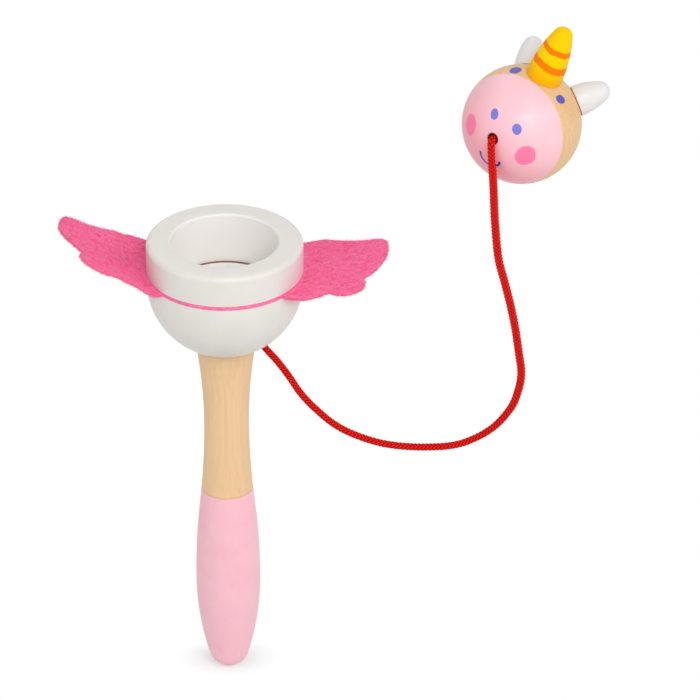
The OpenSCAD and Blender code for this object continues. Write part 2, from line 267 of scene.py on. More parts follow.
def mix_value(tree, mask, under, over):
    """The over value where the mask is 1."""
    return add_node(tree, "ShaderNodeMix", {0: mask, 2: under, 3: over}, data_type="FLOAT").outputs[0]


def cloudy(tree, vector, scale, detail=3.0, roughness=0.5, distortion=0.0):
    """Soft noise from 0 to 1; the scale may differ along each axis."""
    scaled = vector_maths(tree, "MULTIPLY", vector, scale if isinstance(scale, tuple) else (scale,) * 3)
    values = {"Vector": scaled, "Scale": 1.0, "Detail": detail, "Roughness": roughness,
              "Distortion": distortion}
    return add_node(tree, "ShaderNodeTexNoise", values).outputs[0]


def wander(tree, vector, scale, amount, detail=3.0):
    """Soft noise about 0 that is as wide as the amount, for the edge of a hand-painted area."""
    return times(tree, minus(tree, cloudy(tree, vector, scale, detail), 0.5), amount)


def start_group(name, kind, inputs, outputs):
    """A node group with named sockets: its tree, its input sockets and its output node."""
    tree = bpy.data.node_groups.new(name, kind)
    for title, socket, *start in inputs:
        made = tree.interface.new_socket(name=title, in_out="INPUT", socket_type=socket)
        if start:
            made.default_value = start[0]
    for title, socket in outputs:
        tree.interface.new_socket(name=title, in_out="OUTPUT", socket_type=socket)
    return tree, tree.nodes.new("NodeGroupInput").outputs, tree.nodes.new("NodeGroupOutput")


def put_out(tree, end, **results):
    """Links a group's results to its outputs."""
    for name, socket in results.items():
        tree.links.new(socket, end.inputs[name])


def place_group(tree, group, **values):
    """One use of a shader group, with its inputs named in small letters."""
    made = tree.nodes.new("ShaderNodeGroup")
    made.node_tree = group
    for name, value in values.items():
        socket = made.inputs[name.replace("_", " ").capitalize()]
        if isinstance(value, bpy.types.NodeSocket):
            tree.links.new(value, socket)
        else:
            socket.default_value = value
    return made.outputs


def tone(red, green, blue):
    """A colour as it looks on a screen, from 0 to 255, as a linear colour."""
    def linear(c):
        c /= 255
        return c / 12.92 if c <= 0.04045 else ((c + 0.055) / 1.055) ** 2.4
    return (linear(red), linear(green), linear(blue), 1.0)


# Shader groups

def beech_grain_group():
    """Lacquered beech with its grain along Z, in millimetres."""
    tree, given, end = start_group(
        "beech grain", "ShaderNodeTree",
        [("Vector", VECTOR), ("Light", COLOUR), ("Dark", COLOUR), ("Contrast", FLOAT, 1.0)],
        [("Color", COLOUR), ("Roughness", FLOAT), ("Height", FLOAT)])
    streaks = cloudy(tree, given["Vector"], (0.75, 0.75, 0.018), 4.0, 0.6)
    fibres = cloudy(tree, given["Vector"], (3.4, 3.4, 0.09), 3.0, 0.55)
    flecks = eased_step(tree, cloudy(tree, given["Vector"], (2.3, 2.3, 0.3), 1.0), 0.6, 0.74)
    broad = cloudy(tree, given["Vector"], (0.1, 0.1, 0.012), 1.0)
    depth = plus(tree, times(tree, eased_step(tree, streaks, 0.3, 0.72), 0.45),
                 times(tree, eased_step(tree, fibres, 0.3, 0.75), 0.25))
    depth = plus(tree, depth, times(tree, flecks, 0.3))
    depth = plus(tree, depth, times(tree, minus(tree, broad, 0.5), 0.5))
    depth = times(tree, depth, given["Contrast"], clamp=True)
    put_out(tree, end, Color=mix_colour(tree, depth, given["Light"], given["Dark"]),
            Roughness=mix_value(tree, fibres, 0.4, 0.56),
            Height=minus(tree, times(tree, fibres, 0.5), times(tree, flecks, 0.5)))
    return tree


def satin_paint_group():
    """Brushed satin paint: clouded colour, with the wood's grain faint under it."""
    tree, given, end = start_group(
        "satin paint", "ShaderNodeTree",
        [("Vector", VECTOR), ("Paint", COLOUR), ("Shade", COLOUR), ("Clouding", FLOAT, 0.5)],
        [("Color", COLOUR), ("Roughness", FLOAT), ("Height", FLOAT)])
    clouds = cloudy(tree, given["Vector"], 0.11, 4.0, 0.6)
    grain = cloudy(tree, given["Vector"], (1.6, 1.6, 0.05), 3.0, 0.55)
    specks = cloudy(tree, given["Vector"], 2.6, 2.0)
    depth = plus(tree, times(tree, eased_step(tree, clouds, 0.3, 0.75), 0.7),
                 times(tree, eased_step(tree, grain, 0.35, 0.8), 0.2))
    depth = times(tree, depth, given["Clouding"], clamp=True)
    put_out(tree, end, Color=mix_colour(tree, depth, given["Paint"], given["Shade"]),
            Roughness=mix_value(tree, clouds, 0.34, 0.5),
            Height=plus(tree, times(tree, grain, 0.6), times(tree, specks, 0.4)))
    return tree


def brushed_spot_group():
    """An oval dab of paint: its half axes are given as vectors that reach 1 at the edge."""
    tree, given, end = start_group(
        "brushed spot", "ShaderNodeTree",
        [("Vector", VECTOR), ("Centre", VECTOR), ("Across", VECTOR), ("Up", VECTOR),
         ("Softness", FLOAT, 0.1)],
        [("Mask", FLOAT)])
    off = vector_maths(tree, "SUBTRACT", given["Vector"], given["Centre"])
    reach = hypotenuse(tree, dot(tree, off, given["Across"]), dot(tree, off, given["Up"]))
    reach = plus(tree, reach, wander(tree, given["Vector"], 14.0, 0.22, 2.0))
    inside = inverse(tree, eased_step(tree, reach, inverse(tree, given["Softness"]),
                                      plus(tree, 1.0, given["Softness"])))
    near = maths(tree, "GREATER_THAN", dot(tree, given["Vector"], given["Centre"]), 0.0)
    put_out(tree, end, Mask=times(tree, inside, near))
    return tree


def pressed_felt_group():
    """Matted wool, brushed along X: tangled light and dark fibres, in millimetres."""
    tree, given, end = start_group(
        "pressed felt", "ShaderNodeTree",
        [("Vector", VECTOR), ("Light", COLOUR), ("Dark", COLOUR)],
        [("Color", COLOUR), ("Roughness", FLOAT), ("Height", FLOAT)])
    tangle = cloudy(tree, given["Vector"], (0.55, 1.3, 0.7), 6.0, 0.68, 1.6)
    wisps = cloudy(tree, given["Vector"], (0.16, 0.5, 0.3), 4.0, 0.6, 0.8)
    pores = cloudy(tree, given["Vector"], 3.2, 3.0, 0.6, 0.6)
    depth = plus(tree, times(tree, eased_step(tree, tangle, 0.36, 0.64), 0.55),
                 times(tree, eased_step(tree, wisps, 0.35, 0.65), 0.2))
    depth = plus(tree, depth, times(tree, eased_step(tree, pores, 0.4, 0.66), 0.35), clamp=True)
    put_out(tree, end, Color=mix_colour(tree, depth, given["Light"], given["Dark"]),
            Roughness=mix_value(tree, tangle, 0.82, 0.98),
            Height=inverse(tree, depth))
    return tree


BEECH = beech_grain_group()
PAINT = satin_paint_group()
SPOT = brushed_spot_group()
FELT = pressed_felt_group()


# Materials

def start_material(name):
    """A material with one Principled shader: the material, its tree and the shader."""
    made = bpy.data.materials.new(name)
    made.use_nodes = True
    tree = made.node_tree
    tree.nodes.clear()
    shader = tree.nodes.new("ShaderNodeBsdfPrincipled")
    end = tree.nodes.new("ShaderNodeOutputMaterial")
    tree.links.new(shader.outputs["BSDF"], end.inputs["Surface"])
    return made, tree, shader


def local_vector(tree, unit=MM, place=(0, 0, 0), turn=(0, 0, 0)):
    """Object coordinates as seen from a place and a turn, in the given unit."""
    here = tree.nodes.new("ShaderNodeTexCoord").outputs["Object"]
    values = {"Vector": here, "Location": place, "Rotation": turn, "Scale": (unit,) * 3}
    return add_node(tree, "ShaderNodeMapping", values, vector_type="TEXTURE").outputs[0]


def set_surface(tree, shader, colour, roughness, height, bump, depth):
    """Links colour, roughness and a bump of this strength and depth to the shader."""
    tree.links.new(colour, shader.inputs["Base Color"])
    tree.links.new(roughness, shader.inputs["Roughness"])
    made = add_node(tree, "ShaderNodeBump", {"Height": height, "Strength": bump, "Distance": depth})
    tree.links.new(made.outputs[0], shader.inputs["Normal"])


WOOD_LIGHT, WOOD_DARK = tone(239, 202, 156), tone(219, 174, 123)


def handle_material():
    """Beech above the paint line, tinted a little along it, with a painted shadow in the same tan under the
    bowl, and pink below it.
    """
    made, tree, shader = start_material("dipped beech handle")
    here = local_vector(tree)
    wood = place_group(tree, BEECH, vector=here, light=WOOD_LIGHT, dark=WOOD_DARK, contrast=0.65)
    pink = place_group(tree, PAINT, vector=here, paint=tone(251, 194, 206), shade=tone(244, 179, 193),
                       clouding=0.6)
    line = plus(tree, PAINT_Z / MM, wander(tree, here, 0.25, 0.3))
    up = along(tree, here, "Z")
    mask = maths(tree, "LESS_THAN", up, line)
    wet = inverse(tree, eased_step(tree, minus(tree, up, line), 0.2, 1.1))
    # Painted shadow: a tan band at the top of the wood, where the bowl's overhang shades it; the tint along
    # the paint line is the wood's own.
    under = eased_step(tree, up, seat_z / MM - 2.6, seat_z / MM - 0.8)
    stain_and_shade = maths(tree, "MAXIMUM", times(tree, wet, 0.5), times(tree, under, 0.6))
    stained_and_shaded = mix_colour(tree, stain_and_shade, wood["Color"], tone(222, 160, 118))
    set_surface(tree, shader, mix_colour(tree, mask, stained_and_shaded, pink["Color"]),
                mix_value(tree, mask, wood["Roughness"], pink["Roughness"]),
                plus(tree, mix_value(tree, mask, wood["Height"], pink["Height"]), mask), 0.35, 0.00008)
    return made


def white_material(name, grain_turn, line_mask=None,
                   paint=(230, 226, 220), shade=(222, 217, 210), bare=(120, 84, 62)):
    """White satin paint on turned wood, painted lighter inside the cup as painted light against its shade;
    a line mask shows bare wood.
    """
    made, tree, shader = start_material(name)
    here = local_vector(tree, turn=grain_turn)
    white = place_group(tree, PAINT, vector=here, paint=tone(*paint), shade=tone(*shade), clouding=0.55)
    # Painted light: the white is lighter and cooler inside the cup, to lift the shade that falls there.
    colour = mix_colour(tree, cup_inside(tree), white["Color"], tone(242, 239, 236))
    if line_mask:
        colour = mix_colour(tree, line_mask(tree), colour, tone(*bare))
    set_surface(tree, shader, colour, white["Roughness"], white["Height"], 0.3, 0.00006)
    return made


def axis_places(tree):
    """How far out from the handle's axis a place is and how high up it, in millimetres."""
    here = local_vector(tree)
    return off_axis(tree, here), along(tree, here, "Z")


def cup_inside(tree):
    """1 inside the cup: on its bore and its floor."""
    out, up = axis_places(tree)
    inside = inverse(tree, eased_step(tree, out, BORE_R / MM + 0.1, BORE_R / MM + 0.9))
    return times(tree, inside, maths(tree, "GREATER_THAN", up, cup_floor / MM - 0.3))


def cup_floor_line(tree):
    """The bare line round the cup's floor, where the sleeve ends."""
    out, up = axis_places(tree)
    low = maths(tree, "LESS_THAN", maths(tree, "ABSOLUTE", minus(tree, up, cup_floor / MM)), 0.3)
    low = times(tree, low, maths(tree, "LESS_THAN", out, SLEEVE_R / MM))
    return times(tree, low, eased_step(tree, out, BORE_R / MM - 1.6, BORE_R / MM - 1.1))


def ear_foot_line(place):
    """The bare line at the foot of an ear at this place."""
    where, turn, _ = place.decompose()

    def mask(tree):
        up = along(tree, local_vector(tree, place=where, turn=turn.to_euler()), "Z")
        return inverse(tree, eased_step(tree, up, 0.2, 0.4))
    return mask


def face_axes(forward, up, side, tilt=0.0):
    """A place on the face as directions from the ball's middle: its centre, across and up."""
    centre = Vector((side, -forward, up)).normalized()
    rise = (Vector((0, 0, 1)) - centre * centre.z).normalized()
    turn = Matrix.Rotation(math.radians(tilt), 3, centre)
    return centre, turn @ rise.cross(centre), turn @ rise


def head_spot(tree, head, place, width, height, tilt):
    """The mask of one painted spot: its place, its size in mm and its tilt in degrees."""
    centre, across, rise = face_axes(*place, tilt)
    half_w, half_h = width * MM / BALL_R / 2, height * MM / BALL_R / 2
    return place_group(tree, SPOT, vector=head, centre=centre, across=across / half_w, up=rise / half_h,
                       softness=0.08)["Mask"]


def smile_mask(tree, head):
    """A thin painted arc low on the face, round a middle that is a little above its place."""
    centre, across, rise = face_axes(0.9, -0.43, 0.0685)
    off = vector_maths(tree, "SUBTRACT", head, centre)
    up = minus(tree, dot(tree, off, rise), 0.103)
    out = hypotenuse(tree, dot(tree, off, across), up)
    wobble = wander(tree, head, 9.0, 0.014, 2.0)
    off_line = maths(tree, "ABSOLUTE", plus(tree, minus(tree, out, 0.193), wobble))
    line = inverse(tree, eased_step(tree, off_line, 0.017, 0.026))
    low = maths(tree, "LESS_THAN", up, -0.025)
    front = maths(tree, "LESS_THAN", along(tree, head, "Y"), 0.0)
    return times(tree, times(tree, line, low), front)


# Painted spots: place (forward, up, to the viewer's right), width, height, tilt and colour
CHEEK, EYE, NOSTRIL = tone(255, 121, 165), tone(84, 78, 180), tone(116, 116, 212)
SMILE = tone(66, 48, 156)
FACE_SPOTS = [
    ((0.856, -0.09, -0.509), 7.2, 8.5, 12, CHEEK), ((0.809, -0.018, 0.587), 7.9, 8.6, -8, CHEEK),
    ((0.194, 0.881, -0.431), 5.5, 4.6, 0, EYE), ((0.126, 0.867, 0.482), 4.6, 3.7, 0, EYE),
    ((0.913, 0.366, -0.18), 3.2, 4.4, 38, NOSTRIL), ((0.891, 0.355, 0.282), 3.6, 4.3, 30, NOSTRIL),
    ((0.901, -0.347, 0.255), 1.2, 1.2, 0, SMILE),
]


def ball_material():
    """Beech ball with a pink face, with painted shade that darkens it low down, and painted nostrils, eyes,
    cheeks and a smile.
    """
    made, tree, shader = start_material("painted beech ball")
    turn = tuple(HEAD_TURN)
    head = local_vector(tree, BALL_R, ball_at, turn)
    here = local_vector(tree, MM, ball_at, turn)
    wood = place_group(tree, BEECH, vector=here, light=tone(237, 196, 146), dark=tone(209, 160, 106),
                       contrast=0.7)
    pink = place_group(tree, PAINT, vector=here, paint=tone(253, 202, 210), shade=tone(248, 187, 198),
                       clouding=0.55)
    edge = minus(tree, wander(tree, head, 5.0, 0.03), times(tree, along(tree, head, "Z"), 0.04))
    front = minus(tree, edge, along(tree, head, "Y"))
    skin = maths(tree, "GREATER_THAN", length_of(tree, head), 0.985)
    face = times(tree, eased_step(tree, front, 0.291, 0.299), skin)
    # Painted shade: the face's pink darkens low down and a little to the viewer's left.
    low = eased_step(tree, dot(tree, head, (-0.3, 0.0, -0.95)), -0.6, 0.6)
    painted_shade_pink = mix_colour(tree, times(tree, low, 0.85), pink["Color"], tone(244, 162, 175))
    colour = mix_colour(tree, face, wood["Color"], painted_shade_pink)
    for place, width, height, tilt, paint in FACE_SPOTS:
        colour = mix_colour(tree, head_spot(tree, head, place, width, height, tilt), colour, paint)
    colour = mix_colour(tree, smile_mask(tree, head), colour, SMILE)
    colour = mix_colour(tree, skin, tone(120, 74, 48), colour)
    set_surface(tree, shader, colour, mix_value(tree, face, wood["Roughness"], pink["Roughness"]),
                mix_value(tree, face, wood["Height"], pink["Height"]), 0.3, 0.00007)
    return made


HORN_BANDS = [(6.2, 9.0), (13.1, 15.2)]  # heights on the horn, in mm


def horn_material(place):
    """Yellow horn with two hand-painted orange bands, and painted shade that darkens the yellow towards its
    foot.
    """
    made, tree, shader = start_material("banded yellow horn")
    where, turn, _ = place.decompose()
    here = local_vector(tree, MM, where, turn.to_euler())
    yellow = place_group(tree, PAINT, vector=here, paint=tone(255, 212, 0), shade=tone(248, 190, 0),
                         clouding=0.75)
    orange = place_group(tree, PAINT, vector=here, paint=tone(255, 132, 0), shade=tone(244, 108, 0),
                         clouding=0.7)
    shader.inputs["Specular IOR Level"].default_value = 0.06
    lean = plus(tree, along(tree, here, "Z"), times(tree, along(tree, here, "X"), 0.1))
    height = plus(tree, lean, wander(tree, here, (0.3, 0.3, 0.12), 1.6))
    masks = []
    for low, high in HORN_BANDS:
        masks.append(times(tree, eased_step(tree, height, low - 0.12, low + 0.12),
                           inverse(tree, eased_step(tree, height, high - 0.12, high + 0.12))))
    band = plus(tree, masks[0], masks[1], clamp=True)
    # Painted shade: the yellow darkens towards the horn's foot.
    deeper = inverse(tree, eased_step(tree, along(tree, here, "Z"), 0.0, 8.0))
    ground = mix_colour(tree, times(tree, deeper, 0.85), yellow["Color"], tone(248, 172, 0))
    set_surface(tree, shader, mix_colour(tree, band, ground, orange["Color"]),
                mix_value(tree, band, yellow["Roughness"], orange["Roughness"]),
                plus(tree, yellow["Height"], times(tree, band, 0.6)), 0.35, 0.00007)
    return made


def kept_value(tree, name):
    """A value that a piece's mesh keeps under a name."""
    return add_node(tree, "ShaderNodeAttribute", attribute_name=name).outputs["Fac"]


def set_sheen(shader):
    """The soft glow of light in loose pink fibres."""
    shader.inputs["Sheen Weight"].default_value = 0.3
    shader.inputs["Sheen Roughness"].default_value = 0.6
    shader.inputs["Sheen Tint"].default_value = tone(255, 120, 170)
    shader.inputs["Specular IOR Level"].default_value = 0.1


def felt_material():
    """Pink pressed wool felt with a soft nap."""
    made, tree, shader = start_material("pink wool felt")
    wool = place_group(tree, FELT, vector=local_vector(tree), light=tone(255, 150, 196),
                       dark=tone(255, 66, 134))
    set_sheen(shader)
    set_surface(tree, shader, wool["Color"], wool["Roughness"], wool["Height"], 0.2, 0.0003)
    return made


def nap_material():
    """The felt's loose fibres: each has its own pink, and is lighter towards its tip."""
    made, tree, shader = start_material("pink wool nap")
    wool = place_group(tree, FELT, vector=local_vector(tree), light=tone(255, 176, 212),
                       dark=tone(255, 100, 160))
    own, tip = kept_value(tree, "fibre_tone"), kept_value(tree, "fibre_share")
    colour = mix_colour(tree, own, tone(250, 78, 134), wool["Color"])
    colour = mix_colour(tree, times(tree, times(tree, tip, own), 0.6), colour, tone(255, 190, 216))
    set_sheen(shader)
    set_surface(tree, shader, colour, wool["Roughness"], wool["Height"], 0.2, 0.0001)
    return made


def cord_material():
    """Red braid: fine yarns along each strand, with painted shade where a strand dives and in the grooves.
    """
    made, tree, shader = start_material("red braided cord")
    run, side = kept_value(tree, "strand_along"), kept_value(tree, "strand_side")
    lift, out = kept_value(tree, "strand_lift"), kept_value(tree, "strand_out")
    run = maths(tree, "DIVIDE", run, MM)
    flat = add_node(tree, "ShaderNodeCombineXYZ", {"X": run, "Y": side}).outputs[0]
    yarns = cloudy(tree, flat, (0.8, 9.0, 1.0), 3.0, 0.6)
    fuzz = cloudy(tree, local_vector(tree), 2.4, 3.0, 0.6)
    # Painted shade: darker where a strand dives under the others and in the grooves between strands.
    dive = inverse(tree, eased_step(tree, lift, 0.2, 0.8))
    groove_shade = inverse(tree, eased_step(tree, out, 0.78, 0.98))
    depth = plus(tree, times(tree, eased_step(tree, yarns, 0.3, 0.7), 0.1),
                 plus(tree, times(tree, dive, 0.25), times(tree, groove_shade, 0.75)))
    depth = plus(tree, depth, times(tree, eased_step(tree, fuzz, 0.35, 0.75), 0.1), clamp=True)
    shader.inputs["Specular IOR Level"].default_value = 0.12
    set_surface(tree, shader, mix_colour(tree, depth, tone(255, 26, 12), tone(136, 0, 0)),
                mix_value(tree, yarns, 0.45, 0.6), yarns, 0.4, 0.0001)
    return made


# The camera at the photograph's place

def make_camera():
    """A long lens, looking down at the toy."""
    data = bpy.data.cameras.new("camera")
    data.lens, data.sensor_width = 325.0, 36.0
    data.clip_start, data.clip_end = 0.05, 20.0
    made = bpy.data.objects.new("camera", data)
    made.location = (0.04766, -2.09935, 1.31382)
    made.rotation_euler = (math.radians(60), 0, 0)
    bpy.context.scene.collection.objects.link(made)
    bpy.context.scene.camera = made


# The cord

def smooth_route(points, spacing):
    """A smooth curve through the points, as a dense list."""
    points = [Vector(p) for p in points]
    ends = [2 * points[0] - points[1]] + points + [2 * points[-1] - points[-2]]
    dense = []
    for a, b, c, d in zip(ends, ends[1:], ends[2:], ends[3:]):
        steps = max(2, round((c - b).length / spacing))
        for i in range(steps):
            t = i / steps
            bent = (2 * a - 5 * b + 4 * c - d) * t * t + (3 * b - a - 3 * c + d) * t ** 3
            dense.append(0.5 * (2 * b + (c - a) * t + bent))
    return dense + [points[-1]]


def nose_run():
    """The cord's turn over the lower edge of the nose hole, and its end inside the ball."""
    hang = Vector((0.15, -0.28, -0.95))
    hang = (hang - hang.dot(nose_way) * nose_way).normalized()
    bend, end = 3.2 * MM, ball_at + 21.2 * MM * nose_way
    turn = []
    for i in range(4):
        a = math.pi / 2 * (1 - i / 3)
        turn.append(end + bend * (math.sin(a) * nose_way + (1 - math.cos(a)) * hang))
    return turn + [end - 2 * MM * nose_way]


def mark(tree, geometry, name, value, kind="FLOAT", domain="POINT"):
    """Keeps a value on a geometry under a name."""
    values = {"Geometry": geometry, "Name": name, "Value": value}
    return add_node(tree, "GeometryNodeStoreNamedAttribute", values, data_type=kind,
                    domain=domain).outputs[0]


def marked(tree, name, kind="FLOAT"):
    """The value that a geometry keeps under a name."""
    return add_node(tree, "GeometryNodeInputNamedAttribute", {"Name": name}, data_type=kind).outputs[0]


def round_section(tree, sides, radius):
    """A round for a curve to carry along."""
    values = {"Resolution": sides, "Radius": radius}
    return add_node(tree, "GeometryNodeCurvePrimitiveCircle", values).outputs[0]


def made_real(tree, geometry, material):
    """The end of a geometry tree: its instances made real, in its material."""
    real = add_node(tree, "GeometryNodeRealizeInstances", {"Geometry": geometry}).outputs[0]
    return add_node(tree, "GeometryNodeSetMaterial", {"Geometry": real, "Material": material}).outputs[0]


def braid_tree():
    """Twelve strands wound both ways round a path, each over two and under two, on a core."""
    tree, given, end = start_group(
        "round braid", "GeometryNodeTree",
        [("Path", "NodeSocketGeometry"), ("Cord diameter", FLOAT, CORD_D), ("Lead", FLOAT, 9 * MM),
         ("Step", FLOAT, 0.32 * MM), ("Fuller share", FLOAT, 0.0), ("Fuller from", FLOAT, 0.0),
         ("Fuller until", FLOAT, 1.0), ("Material", "NodeSocketMaterial")],
        [("Braid", "NodeSocketGeometry")])
    each_way, cord_d = float(STRANDS_EACH_WAY), given["Cord diameter"]
    path = add_node(tree, "GeometryNodeMeshToCurve", {"Mesh": given["Path"]}).outputs[0]
    path = add_node(tree, "GeometryNodeResampleCurve", {"Curve": path, "Length": given["Step"]},
                    mode="LENGTH").outputs[0]
    copies = add_node(tree, "GeometryNodeDuplicateElements",
                      {"Geometry": path, "Amount": 2 * STRANDS_EACH_WAY}, domain="SPLINE")
    strand = copies.outputs["Duplicate Index"]

    # Each strand's turn round the path, and its rise over and dive under the others
    run = tree.nodes.new("GeometryNodeSplineParameter").outputs["Length"]
    way = inverse(tree, times(tree, maths(tree, "GREATER_THAN", strand, each_way - 0.5), 2.0))
    turns = times(tree, maths(tree, "DIVIDE", run, given["Lead"]), way)
    place = maths(tree, "MODULO", strand, each_way)
    angle = times(tree, plus(tree, maths(tree, "DIVIDE", place, each_way), turns), 2 * math.pi)
    weave = plus(tree, times(tree, place, math.pi), times(tree, turns, each_way * math.pi))
    lift = times(tree, maths(tree, "COSINE", minus(tree, weave, math.pi / 4)), way)

    # How far out it runs, with the fuller stretch
    swells = eased_step(tree, run, given["Fuller from"], plus(tree, given["Fuller from"], SWELL_RUN))
    slims = eased_step(tree, run, minus(tree, given["Fuller until"], SLIM_RUN), given["Fuller until"])
    width = plus(tree, 1.0, times(tree, given["Fuller share"], minus(tree, swells, slims)))
    out = times(tree, cord_d, plus(tree, STRAND_OUT, times(tree, lift, STRAND_LIFT)))
    out = times(tree, out, width)
    normal = tree.nodes.new("GeometryNodeInputNormal").outputs["Normal"]
    tangent = tree.nodes.new("GeometryNodeInputTangent").outputs["Tangent"]
    side = vector_maths(tree, "CROSS_PRODUCT", tangent, normal)
    ahead = stretched(tree, normal, times(tree, out, maths(tree, "COSINE", angle)))
    aside = stretched(tree, side, times(tree, out, maths(tree, "SINE", angle)))
    shift = vector_maths(tree, "ADD", ahead, aside)

    # The strands, which keep what the red material reads
    here = tree.nodes.new("GeometryNodeInputPosition").outputs[0]
    strands = copies.outputs["Geometry"]
    for title, value, kind in (("strand_along", run, "FLOAT"), ("strand_width", width, "FLOAT"),
                               ("strand_lift", plus(tree, 0.5, times(tree, lift, 0.5)), "FLOAT"),
                               ("axis_place", here, "FLOAT_VECTOR"), ("axis_way", tangent, "FLOAT_VECTOR")):
        strands = mark(tree, strands, title, value, kind)
    strands = add_node(tree, "GeometryNodeSetPosition", {"Geometry": strands, "Offset": shift}).outputs[0]
    strand_width = marked(tree, "strand_width")
    section = mark(tree, round_section(tree, 6, times(tree, cord_d, STRAND_R)), "strand_side",
                   tree.nodes.new("GeometryNodeSplineParameter").outputs["Factor"])
    swept = {"Curve": strands, "Profile Curve": section, "Scale": strand_width, "Fill Caps": True}
    strands = add_node(tree, "GeometryNodeCurveToMesh", swept).outputs[0]
    axis_way = marked(tree, "axis_way", "FLOAT_VECTOR")
    off = vector_maths(tree, "SUBTRACT", here, marked(tree, "axis_place", "FLOAT_VECTOR"))
    off = vector_maths(tree, "SUBTRACT", off, stretched(tree, axis_way, dot(tree, off, axis_way)))
    reach = maths(tree, "DIVIDE", length_of(tree, off), times(tree, cord_d, 0.5))
    strands = mark(tree, strands, "strand_out", maths(tree, "DIVIDE", reach, strand_width))
    for title in ("axis_place", "axis_way", "strand_width"):
        unmarked = {"Geometry": strands, "Name": title}
        strands = add_node(tree, "GeometryNodeRemoveAttribute", unmarked).outputs[0]

    core = round_section(tree, 8, times(tree, cord_d, CORE_R))
    core = add_node(tree, "GeometryNodeCurveToMesh",
                    {"Curve": path, "Profile Curve": core, "Fill Caps": True}).outputs[0]
    both = tree.nodes.new("GeometryNodeJoinGeometry")
    for part in (core, strands):
        tree.links.new(part, both.inputs[0])
    put_out(tree, end, Braid=made_real(tree, both.outputs[0], given["Material"]))
    return tree


def grown(name, source, tree, **values):
    """Runs a geometry tree on a source mesh and keeps its result as a plain piece."""
    host = make_object(name, source)
    modifier = host.modifiers.new(name, "NODES")
    modifier.node_group = tree
    for item in tree.interface.items_tree:
        key = item.name.lower().replace(" ", "_")
        if item.in_out == "INPUT" and key in values:
            modifier[item.identifier] = values[key]
    graph = bpy.context.evaluated_depsgraph_get()
    mesh = bpy.data.meshes.new_from_object(host.evaluated_get(graph), depsgraph=graph)
    host.modifiers.remove(modifier)
    host.data = mesh
    mesh.name = name
    mesh.shade_smooth()
    return host


def path_mesh(name, points):
    """A chain of edges for a braid to follow."""
    mesh = bpy.data.meshes.new(name)
    mesh.from_pydata(points, [(i, i + 1) for i in range(len(points) - 1)], [])
    return mesh


def split_root(piece, name, place, way, reach):
    """Makes a piece of its own from the faces behind a place on the route, out to a reach along X."""
    root = make_object(name, piece.data.copy())
    for part, wanted in ((piece, False), (root, True)):
        work = bmesh.new()
        work.from_mesh(part.data)
        middles = [(face, face.calc_center_median()) for face in work.faces]
        other = [face for face, middle in middles
                 if ((middle - place).dot(way) < 0 and middle.x < reach) != wanted]
        bmesh.ops.delete(work, geom=other, context="FACES")
        work.to_mesh(part.data)
        work.free()
    return root


def make_cord(braid, red, knots):
    """The free cord from the bowl's hole to the nose, bent under the hole and in its loop."""
    corners = [Vector(p) * MM for p in CORD_ROUTE] + nose_run()
    route = smooth_route(corners, 1.0 * MM)
    cord = grown("cord", path_mesh("cord route", route), braid, material=red,
                 fuller_share=FULLER_SHARE, fuller_from=FULLER_FROM, fuller_until=FULLER_UNTIL)
    seam = next(i for i, place in enumerate(route) if place.z < CORD_BEND[1] - 2 * MM)
    root = split_root(cord, "cord_root", route[seam], route[seam + 1] - route[seam], 40 * MM)
    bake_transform(root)
    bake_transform(cord)
    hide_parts("cord_near", "cord_far")


def make_knot(name, node, body, place, braid, red):
    """An overhand knot, pulled tight in its pocket: a three-lobed loop with open ends."""
    turns, steps = [], 96
    for i in range(steps + 1):
        a = 2 * math.pi * i / steps * 0.94 + 0.3
        lobe = Vector((math.sin(a) + 2 * math.sin(2 * a), math.cos(a) - 2 * math.cos(2 * a),
                       -1.7 * math.sin(3 * a)))
        turns.append(place @ (lobe * 0.72 * MM))
    knot = grown(name, path_mesh(name, turns), braid, material=red,
                 cord_diameter=KNOT_D, lead=KNOT_LEAD, step=KNOT_STEP)
    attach(knot, body)
    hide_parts(node)
    return knot


# The turned pieces

def make_handle():
    """Flared top, waist, full grip and round tip, with the paint's thin edge and the hidden tenon."""
    flare_l, rise = seat_z - WAIST_Z, TOP_R - WAIST_R
    flare_r = (flare_l ** 2 + rise ** 2) / (2 * rise)
    swell = grip_r - WAIST_R
    neck_r = (WAIST_Z ** 2 + swell ** 2) / (4 * swell)
    neck = math.asin(WAIST_Z / 2 / neck_r)
    lower = [(r, -z) for r, z in reversed(bullet(grip_r, -tip_z, TIP_ROUND, 64))]
    grip = arc(grip_r - neck_r, 0, neck_r, 0, neck, 48)
    waist = arc(WAIST_R + neck_r, WAIST_Z, neck_r, math.pi + neck, math.pi, 48)
    flare = arc(WAIST_R + flare_r, WAIST_Z, flare_r, math.pi, math.pi - math.asin(flare_l / flare_r), 48)
    profile = lower + grip[1:] + waist[1:] + flare[1:]
    profile += [(TENON_R, seat_z), (TENON_R, tenon_top), (0, tenon_top)]
    handle = make_object("handle_turned", turned_mesh("handle_turned", profile))
    handle.data.materials.append(handle_material())
    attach(handle, "cup")
    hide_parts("handle")


def make_ring(white):
    """The rim ring with its rounded edges, and the sleeve that lines the cup."""
    under = felt_low + FELT_T
    quarter = math.pi / 2
    profile = [(BORE_R, cup_floor), (SLEEVE_R, cup_floor), (SLEEVE_R, under)]
    profile += arc(bowl_r - EASED, under + EASED, EASED, -quarter, 0, 6)
    profile += arc(bowl_r - RING_ROUND, rim_z - RING_ROUND, RING_ROUND, 0, quarter, 16)
    profile += arc(BORE_R + MOUTH_ROUND, rim_z - MOUTH_ROUND, MOUTH_ROUND, quarter, math.pi, 12)
    ring = make_object("ring_turned", turned_mesh("ring_turned", profile, loop=True, sides=192))
    ring.data.materials.append(white)
    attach(ring, "cup")
    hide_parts("rim_ring")


